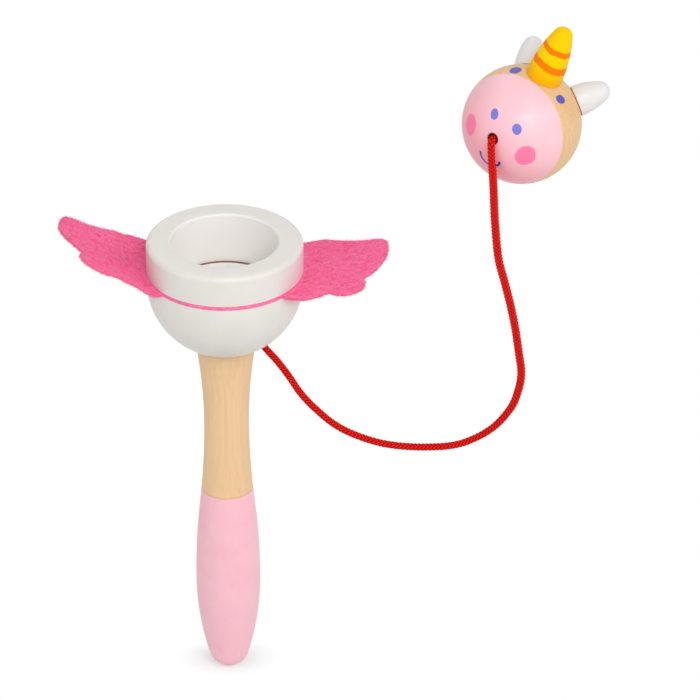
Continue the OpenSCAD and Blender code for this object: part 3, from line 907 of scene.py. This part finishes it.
def pointed_profile(radius, length, tip, foot):
    """A horn or ear: an eased foot and a bullet above it."""
    eased = arc(radius - foot, foot, foot, -math.pi / 2, 0, 8)
    return [(0, 0)] + eased + [(r, z + foot) for r, z in bullet(radius, length - foot, tip)][1:]


def head_place():
    """Where the head is: its middle and its turn."""
    return Matrix.Translation(ball_at) @ HEAD_TURN.to_matrix().to_4x4()


def seat_height(radius):
    """How far from the ball's middle a flat of this radius is."""
    return math.sqrt(BALL_R ** 2 - radius ** 2)


def horn_place():
    """The horn's seat on top of the head."""
    return head_place() @ Matrix.Translation((0, 0, seat_height(HORN_R - HORN_FOOT)))


def ear_place(side):
    """An ear's seat, out to one side and back; side is 1 for the viewer's right."""
    lean = Matrix.Rotation(EAR_BACK, 4, "X") @ Matrix.Rotation(side * EAR_OUT, 4, "Y")
    return head_place() @ lean @ Matrix.Translation((0, 0, seat_height(EAR_R - EAR_FOOT)))


def make_ball():
    """The drilled ball, turned about its nose hole, with flats under the horn and the ears."""
    quarter = math.pi / 2
    lip, mouth = seat_height(NOSE_R + NOSE_SINK), seat_height(POCKET_R)
    shoulder = math.acos((NOSE_R + NOSE_SINK) / BALL_R)
    profile = [(NOSE_R, lip - NOSE_SINK), (NOSE_R + NOSE_SINK, lip)]
    profile += arc(0, 0, BALL_R, shoulder, -math.acos(POCKET_R / BALL_R), 120)[1:]
    profile += [(POCKET_R, -mouth + POCKET_L), (NOSE_R, -mouth + POCKET_L)]
    facing = head_place() @ Matrix.Rotation(quarter, 4, "X")
    mesh = turned_mesh("ball_turned", profile, facing, loop=True, sides=160)
    work = bmesh.new()
    work.from_mesh(mesh)
    for seat in (horn_place(), ear_place(-1), ear_place(1)):
        whole = work.verts[:] + work.edges[:] + work.faces[:]
        cut = bmesh.ops.bisect_plane(work, geom=whole, plane_co=seat.translation,
                                     plane_no=seat.to_3x3() @ Vector((0, 0, 1)), clear_outer=True)
        rim = [edge for edge in cut["geom_cut"] if isinstance(edge, bmesh.types.BMEdge)]
        bmesh.ops.contextual_create(work, geom=rim)
    work.to_mesh(mesh)
    work.free()
    finish_mesh(mesh)
    ball = make_object("ball_turned", mesh)
    ball.data.materials.append(ball_material())
    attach(ball, "head")
    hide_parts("ball")


def make_horn():
    """The banded horn on top of the head."""
    place = horn_place()
    profile = pointed_profile(HORN_R, HORN_L, HORN_TIP, HORN_FOOT)
    horn = make_object("horn_turned", turned_mesh("horn_turned", profile, place, 96))
    horn.data.materials.append(horn_material(place))
    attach(horn, "head")
    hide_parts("horn")


def make_ear(name, node, side):
    """One ear, white with a bare line at its foot."""
    place = ear_place(side)
    profile = pointed_profile(EAR_R, EAR_L, EAR_TIP, EAR_FOOT)
    ear = make_object(name, turned_mesh(name, profile, place, 96))
    ear.data.materials.append(white_material(name + " paint", (0.4, 0.2, 0.0), ear_foot_line(place),
                                             (230, 228, 227), (223, 220, 218), (196, 136, 84)))
    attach(ear, "head")
    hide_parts(node)


# The felt

# Its right wing in mm, from the root behind: each corner, with the bow of the edge that leads to it.
# The second notch is deeper than the source's and the feathers' bows differ a little from it.
FELT_ROOT = (22.36, 20)
FELT_EDGES = [
    ((37.5, 23), 0.0), ((59.5, 19.3), -1.4), ((62, 15), 1.0),
    ((52.5, -10), 3.4), ((40.5, -17.3), 7.6), ((22.36, -20), 2.8),
]
FELT_STEP, FELT_ROUND = 0.7, 0.4  # between its points, and of its cut edge
FELT_SOFT, FELT_TIP_SOFT, FELT_TIP_X = 2, 16, 54  # rounds of softening along it and at its tips, past X
FELT_TURN = -1.5  # degrees about the handle's axis
FOLD_OUT, FOLD_R = 30.3, 4.0  # where the wings start to bend up, and how tightly
RIGHT_BEND, LEFT_BEND = (0.0, 7.0), (-17.5, 30.0)  # the fold line's slant and the lift, in degrees


def bowed(start, end, rise, step):
    """Points of an edge that bows out by its rise, without its first point."""
    start, end = np.array(start, float), np.array(end, float)
    run = np.linalg.norm(end - start)
    ahead = (end - start) / run
    out = np.array([-ahead[1], ahead[0]])
    count = max(2, round(run / step))
    if abs(rise) < 1e-6:
        return [start + (end - start) * i / count for i in range(1, count + 1)]
    radius = ((run / 2) ** 2 + rise ** 2) / (2 * rise)
    sweep = math.asin(run / 2 / radius)
    middle = (start + end) / 2 + (rise - radius) * out
    angles = [sweep * (2 * i / count - 1) for i in range(1, count + 1)]
    return [middle + radius * (math.sin(a) * ahead + math.cos(a) * out) for a in angles]


def felt_outline():
    """The felt's cut edge in plan, in mm: a ring's outside with a feathered wing on each side."""
    right, here = [np.array(FELT_ROOT, float)], FELT_ROOT
    for corner, rise in FELT_EDGES:
        right += bowed(here, corner, rise, FELT_STEP)
        here = corner
    left = [p * (-1, 1) for p in reversed(right)]
    root = math.atan2(FELT_ROOT[1], FELT_ROOT[0])
    radius = math.hypot(*FELT_ROOT)
    count = round((math.pi - 2 * root) * radius / FELT_STEP)
    swing = [root + (math.pi - 2 * root) * i / count for i in range(1, count)]
    near = [np.array((radius * math.cos(a), -radius * math.sin(a))) for a in swing]
    far = [np.array((-radius * math.cos(a), radius * math.sin(a))) for a in swing]
    edge = np.array(right + near + left + far)
    for turn in range(FELT_TIP_SOFT):
        soft = (np.roll(edge, 1, 0) + 2 * edge + np.roll(edge, -1, 0)) / 4
        far_out = np.abs(edge[:, :1]) > FELT_TIP_X
        loose = np.linalg.norm(edge, axis=1)[:, None] > radius + 0.4
        edge = np.where(loose & (far_out | (turn < FELT_SOFT)), soft, edge)
    return edge


def eased(value, start, end):
    """0 before start, 1 after end and a smooth step between them."""
    share = min(1.0, max(0.0, (value - start) / (end - start)))
    return share * share * (3 - 2 * share)


def felt_rise(x, y, outer):
    """Height of the bent felt's upper face, or of its lower face where outer is True."""
    side = 1 if x > 0 else -1
    turn, lift = (math.radians(a) for a in (RIGHT_BEND if x > 0 else LEFT_BEND))
    out = side * x * math.cos(turn) + y * math.sin(turn) - FOLD_OUT
    if out <= 0:
        return 0.0
    radius = FOLD_R + (FELT_T / MM if outer else 0.0)
    if out < radius * math.sin(lift):
        return radius - math.sqrt(radius ** 2 - out ** 2)
    return radius * (1 - math.cos(lift)) + (out - radius * math.sin(lift)) * math.tan(lift)


def felt_point(x, y, share):
    """A felt point at a share of its thickness, from 0 at the lower face to 1 at the upper.

    The left wing's back edge curls up and its front root is drawn in, and both tips are shifted.
    """
    upper = share > 0.5
    free = min(1.0, max(0.0, (math.hypot(x, y) - 30.2) / 6.0))
    low, high = felt_rise(x, y, True), felt_rise(x, y, False) + FELT_T / MM
    wave = 0.35 * free * noise.noise(Vector((x / 14, y / 14, 3.7)))
    if x < 0:
        wave += 2.6 * math.exp(-((x + 42) / 7) ** 2) * eased(y, 8, 22)
        y += 2.2 * math.exp(-((x + 32) / 6) ** 2) * eased(-y, 12, 20)
    x += eased(abs(x), 50, 61) * (-0.3 if x > 0 else -0.7 - math.exp(-((y - 3) / 7) ** 2))
    lump = 0.09 * free * noise.noise(Vector((x / 1.7, y / 1.7, 9.1 if upper else 1.3)))
    z = felt_low / MM + low + (high - low) * share + wave + (lump if upper else -lump)
    a = math.radians(FELT_TURN)
    return Vector((x * math.cos(a) - y * math.sin(a), x * math.sin(a) + y * math.cos(a), z)) * MM


def within(points, ring):
    """Which points a closed ring of points goes round, in plan."""
    a, b = ring, np.roll(ring, -1, 0)
    px, py = points[:, None, 0], points[:, None, 1]
    crossing = (a[:, 1] > py) != (b[:, 1] > py)
    slope = np.where(np.abs(b[:, 1] - a[:, 1]) < 1e-12, 1e-12, b[:, 1] - a[:, 1])
    return (crossing & (px < (b[:, 0] - a[:, 0]) * (py - a[:, 1]) / slope + a[:, 0])).sum(1) % 2 == 1


def felt_plan(edge):
    """The flat felt inside this edge: its points and triangles, and its rim's and its hole's points."""
    hole_r = SLEEVE_R / MM + 0.1
    hole_n = round(2 * math.pi * hole_r / 1.2)
    angles = [2 * math.pi * i / hole_n for i in range(hole_n)]
    hole = np.array([(hole_r * math.cos(a), hole_r * math.sin(a)) for a in angles])
    columns, rows = np.arange(-63, 63.1, FELT_STEP), np.arange(-31, 31.1, FELT_STEP * 0.866)
    lattice = np.array([(x + (FELT_STEP / 2 if j % 2 else 0), y)
                        for j, y in enumerate(rows) for x in columns])
    clear = np.min(np.linalg.norm(lattice[:, None] - edge[None], axis=2), 1) > 0.45 * FELT_STEP
    inner = lattice[clear & within(lattice, edge) & (np.linalg.norm(lattice, axis=1) > hole_r + 0.3)]
    n = len(edge)
    rims = [(i, (i + 1) % n) for i in range(n)]
    rims += [(n + i, n + (i + 1) % hole_n) for i in range(hole_n)]
    flat = [Vector(p) for p in np.concatenate([edge, hole, inner])]
    flat, _, faces, olds_of, *_ = delaunay_2d_cdt(flat, rims, [], 0, 1e-6)
    kept = {old: new for new, olds in enumerate(olds_of) for old in olds}
    rim, bore = [kept[i] for i in range(n)], [kept[n + i] for i in range(hole_n)]
    flat, faces = np.array([tuple(p) for p in flat]), np.array([f for f in faces])
    in_bore = np.isin(faces, bore).all(1)
    faces = faces[within(flat[faces].mean(1), edge) & ~in_bore]
    return flat, [tuple(f) for f in faces], rim, bore


def make_felt(pink):
    """The felt piece: a ring clamped under the rim and two feathered wings bent up from it."""
    edge = felt_outline()
    ahead = np.roll(edge, -1, 0) - np.roll(edge, 1, 0)
    ahead /= np.linalg.norm(ahead, axis=1)[:, None]
    inward = np.stack([ahead[:, 1], -ahead[:, 0]], 1)
    inset = edge + FELT_ROUND * inward
    flat, faces, rim, bore = felt_plan(inset)
    total, n, h = len(flat), len(rim), len(bore)
    points = [felt_point(x, y, 1.0) for x, y in flat] + [felt_point(x, y, 0.0) for x, y in flat]
    faces += [tuple(total + i for i in reversed(f)) for f in faces]
    bands = [rim]
    for out, share in ((0.28, 0.93), (FELT_ROUND, 0.68), (FELT_ROUND, 0.32), (0.28, 0.07)):
        bands.append([len(points) + i for i in range(n)])
        points += [felt_point(x, y, share) for x, y in inset - out * inward]
    bands.append([total + i for i in rim])
    for upper, lower in zip(bands, bands[1:]):
        faces += [(upper[i], lower[i], lower[(i + 1) % n], upper[(i + 1) % n]) for i in range(n)]
    faces += [(bore[i], bore[(i + 1) % h], total + bore[(i + 1) % h], total + bore[i]) for i in range(h)]
    mesh = bpy.data.meshes.new("felt_piece")
    mesh.from_pydata(points, [], faces)
    felt = make_object("felt_piece", finish_mesh(mesh, 50))
    felt.data.materials.append(pink)
    tree, fibre = nap_tree(), nap_material()
    naps = [grown(name, felt.data.copy(), tree, side=side, material=fibre)
            for name, side in (("left_nap", -1.0), ("right_nap", 1.0))]
    for piece in [felt] + naps:
        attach(piece, "cup")
    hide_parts("felt_wings")


def nap_tree():
    """Brushed fibres on one wing, closer on its cut edge, that lie outwards and stand a little off."""
    tree, given, end = start_group(
        "brushed nap", "GeometryNodeTree",
        [("Felt", "NodeSocketGeometry"), ("Side", FLOAT, 1.0),
         ("Fibres per square metre", FLOAT, 1500000.0), ("Edge thickening", FLOAT, 4.0),
         ("Fibre length", FLOAT, 1.1 * MM), ("Fibre radius", FLOAT, 0.045 * MM),
         ("Clamped radius", FLOAT, 30.6 * MM), ("Seed", "NodeSocketInt", 7),
         ("Material", "NodeSocketMaterial")],
        [("Nap", "NodeSocketGeometry")])

    def chance(low, high, seed):
        values = {2: low, 3: high, 8: seed}
        return add_node(tree, "FunctionNodeRandomValue", values, data_type="FLOAT").outputs[1]

    def vector(x, y, z):
        return add_node(tree, "ShaderNodeCombineXYZ", {"X": x, "Y": y, "Z": z}).outputs[0]

    # Where the fibres stand: on this wing, outside the clamped ring, and closer on the cut edge
    here = tree.nodes.new("GeometryNodeInputPosition").outputs[0]
    this_side = maths(tree, "GREATER_THAN", times(tree, along(tree, here, "X"), given["Side"]), 0.0)
    free = maths(tree, "GREATER_THAN", off_axis(tree, here), given["Clamped radius"])
    normal = tree.nodes.new("GeometryNodeInputNormal").outputs["Normal"]
    slope = maths(tree, "ABSOLUTE", along(tree, normal, "Z"))
    dense = times(tree, given["Fibres per square metre"],
                  mix_value(tree, maths(tree, "LESS_THAN", slope, 0.6), 1.0, given["Edge thickening"]))
    spread = add_node(tree, "GeometryNodeDistributePointsOnFaces",
                      {"Mesh": given["Felt"], "Selection": times(tree, free, this_side), "Density": dense,
                       "Seed": given["Seed"]})

    # One fibre, which knows how far along it each point is
    bend = {end_name: stretched(tree, shares, given["Fibre length"]) for end_name, shares in
            (("Start", (-0.1, 0.0, -0.04)), ("Middle", (0.4, 0.12, 0.3)), ("End", (0.9, -0.08, 0.16)))}
    fibre = add_node(tree, "GeometryNodeCurveQuadraticBezier", {"Resolution": 2, **bend}).outputs[0]
    share = tree.nodes.new("GeometryNodeSplineParameter").outputs["Factor"]
    fibre = mark(tree, fibre, "fibre_share", share)
    section = round_section(tree, 3, given["Fibre radius"])
    fibre = add_node(tree, "GeometryNodeCurveToMesh",
                     {"Curve": fibre, "Profile Curve": section}).outputs[0]

    # How each one lies, and its own tone
    lying = add_node(tree, "FunctionNodeAlignRotationToVector",
                     {"Rotation": spread.outputs["Rotation"], "Vector": vector(given["Side"], -0.2, 0.1)},
                     axis="X", pivot_axis="Z").outputs[0]
    stray = vector(chance(-0.4, 0.4, 5), chance(-0.5, 0.15, 11), chance(-0.9, 0.9, 3))
    stray = add_node(tree, "FunctionNodeEulerToRotation", {0: stray}).outputs[0]
    facing = add_node(tree, "FunctionNodeRotateRotation", {"Rotation": lying, "Rotate By": stray},
                      rotation_space="LOCAL").outputs[0]
    nap = add_node(tree, "GeometryNodeInstanceOnPoints",
                   {"Points": spread.outputs["Points"], "Instance": fibre, "Rotation": facing,
                    "Scale": chance(0.5, 1.3, 9)}).outputs[0]
    nap = mark(tree, nap, "fibre_tone", chance(0.0, 1.0, 13), domain="INSTANCE")
    put_out(tree, end, Nap=made_real(tree, nap, given["Material"]))
    return tree


# The stage

def make_floor():
    """A pale round of floor that shows white, with a soft shadow round the handle's tip that is partly real
    and partly painted.

    It ends near the tip, because the ball hangs below it at some poses, and is clear from below.
    """
    mesh = bpy.data.meshes.new("floor")
    sides, reach, low = 96, 30 * MM, tip_z - 0.2 * MM
    angles = [2 * math.pi * i / sides for i in range(sides)]
    rim = [(reach * math.cos(a), reach * math.sin(a), low) for a in angles]
    mesh.from_pydata(rim, [], [tuple(range(sides))])
    floor = make_object("floor", mesh)
    made = bpy.data.materials.new("pale floor")
    made.use_nodes = True
    tree = made.node_tree
    tree.nodes.clear()
    ground = add_node(tree, "ShaderNodeBsdfDiffuse", {"Color": (0.8, 0.8, 0.8, 1)}).outputs[0]
    glow = add_node(tree, "ShaderNodeEmission", {"Color": (1, 1, 1, 1), "Strength": 1.0}).outputs[0]
    # Painted shadow: the white glow fades in an oval round the tip, set back from it, so the floor shows
    # grey there as well as where the real shadow falls.
    spread = vector_maths(tree, "SUBTRACT", local_vector(tree), (0.0, 4.0, 0.0))
    out = length_of(tree, vector_maths(tree, "MULTIPLY", spread, (0.95, 1.4, 0.0)))
    away = mix_value(tree, eased_step(tree, out, 2.0, 21.0), 0.38, 1.0)
    lit = times(tree, seen_rays(tree), away)
    both = add_node(tree, "ShaderNodeMixShader", {0: lit, 1: ground, 2: glow}).outputs[0]
    under = tree.nodes.new("ShaderNodeNewGeometry").outputs["Backfacing"]
    clear = tree.nodes.new("ShaderNodeBsdfTransparent").outputs[0]
    both = add_node(tree, "ShaderNodeMixShader", {0: under, 1: both, 2: clear}).outputs[0]
    tree.links.new(both, tree.nodes.new("ShaderNodeOutputMaterial").inputs["Surface"])
    mesh.materials.append(made)


def seen_rays(tree):
    """1 for what the camera sees, straight, in a gloss or through glass."""
    path = tree.nodes.new("ShaderNodeLightPath")
    seen = plus(tree, path.outputs["Is Camera Ray"], path.outputs["Is Glossy Ray"])
    return plus(tree, seen, path.outputs["Is Transmission Ray"], clamp=True)


def make_world():
    """Even pale light all round, stronger from below as off a wide floor, and white where it is seen."""
    world = bpy.data.worlds.new("studio")
    bpy.context.scene.world = world
    world.use_nodes = True
    tree = world.node_tree
    tree.nodes.clear()
    way = tree.nodes.new("ShaderNodeTexCoord").outputs["Generated"]
    strength = mix_value(tree, eased_step(tree, along(tree, way, "Z"), -0.05, 0.05), 0.72, 0.49)
    strength = mix_value(tree, seen_rays(tree), strength, 1.0)
    sky = add_node(tree, "ShaderNodeBackground", {"Color": (1, 1, 1, 1), "Strength": strength}).outputs[0]
    tree.links.new(sky, tree.nodes.new("ShaderNodeOutputWorld").inputs["Surface"])


def make_lamp(name, place, width, watts):
    """A soft box that faces the toy."""
    data = bpy.data.lights.new(name, "AREA")
    data.shape, data.size, data.energy = "SQUARE", width, watts
    lamp = bpy.data.objects.new(name, data)
    lamp.location = place
    lamp.rotation_euler = (Vector((0.05, 0, 0.08)) - Vector(place)).to_track_quat("-Z", "Y").to_euler()
    bpy.context.scene.collection.objects.link(lamp)


# The making

bpy.context.scene.view_settings.view_transform = "Standard"
make_camera()
red_cord = cord_material()
braid = braid_tree()
in_floor = Matrix.Translation(Vector((*CORD_HOLE, KNOT_UP)) * MM)
in_back = nose_way.to_track_quat("Z", "Y").to_matrix().to_4x4()
in_back = Matrix.Translation(ball_at - nose_way * KNOT_BACK) @ in_back
make_cord(braid, red_cord, [make_knot("floor_knot", "anchor_knot", "cord_end", in_floor, braid, red_cord),
                            make_knot("back_knot", "ball_knot", "far_cord", in_back, braid, red_cord)])

white = white_material("white ring paint", (0.0, math.pi / 2, 0.0))
make_handle()
make_ring(white)
bowl = frame["nodes"]["cup_bowl"]
bowl.data.materials.clear()
bowl.data.materials.append(white_material("white bowl paint", (0.0, 0.0, 0.0), cup_floor_line))
make_ball()
make_horn()
make_ear("left_ear_turned", "left_ear", -1)
make_ear("right_ear_turned", "right_ear", 1)
make_felt(felt_material())

make_floor()
make_world()
make_lamp("key", (0.5, -1.75, 1.6), 1.0, 23.5)
make_lamp("fill", (-1.5, -0.9, 0.9), 1.4, 5.0)
make_lamp("right fill", (1.6, -0.7, 0.9), 1.2, 6.0)
make_lamp("back", (-0.3, 1.4, 1.6), 1.2, 4.0)
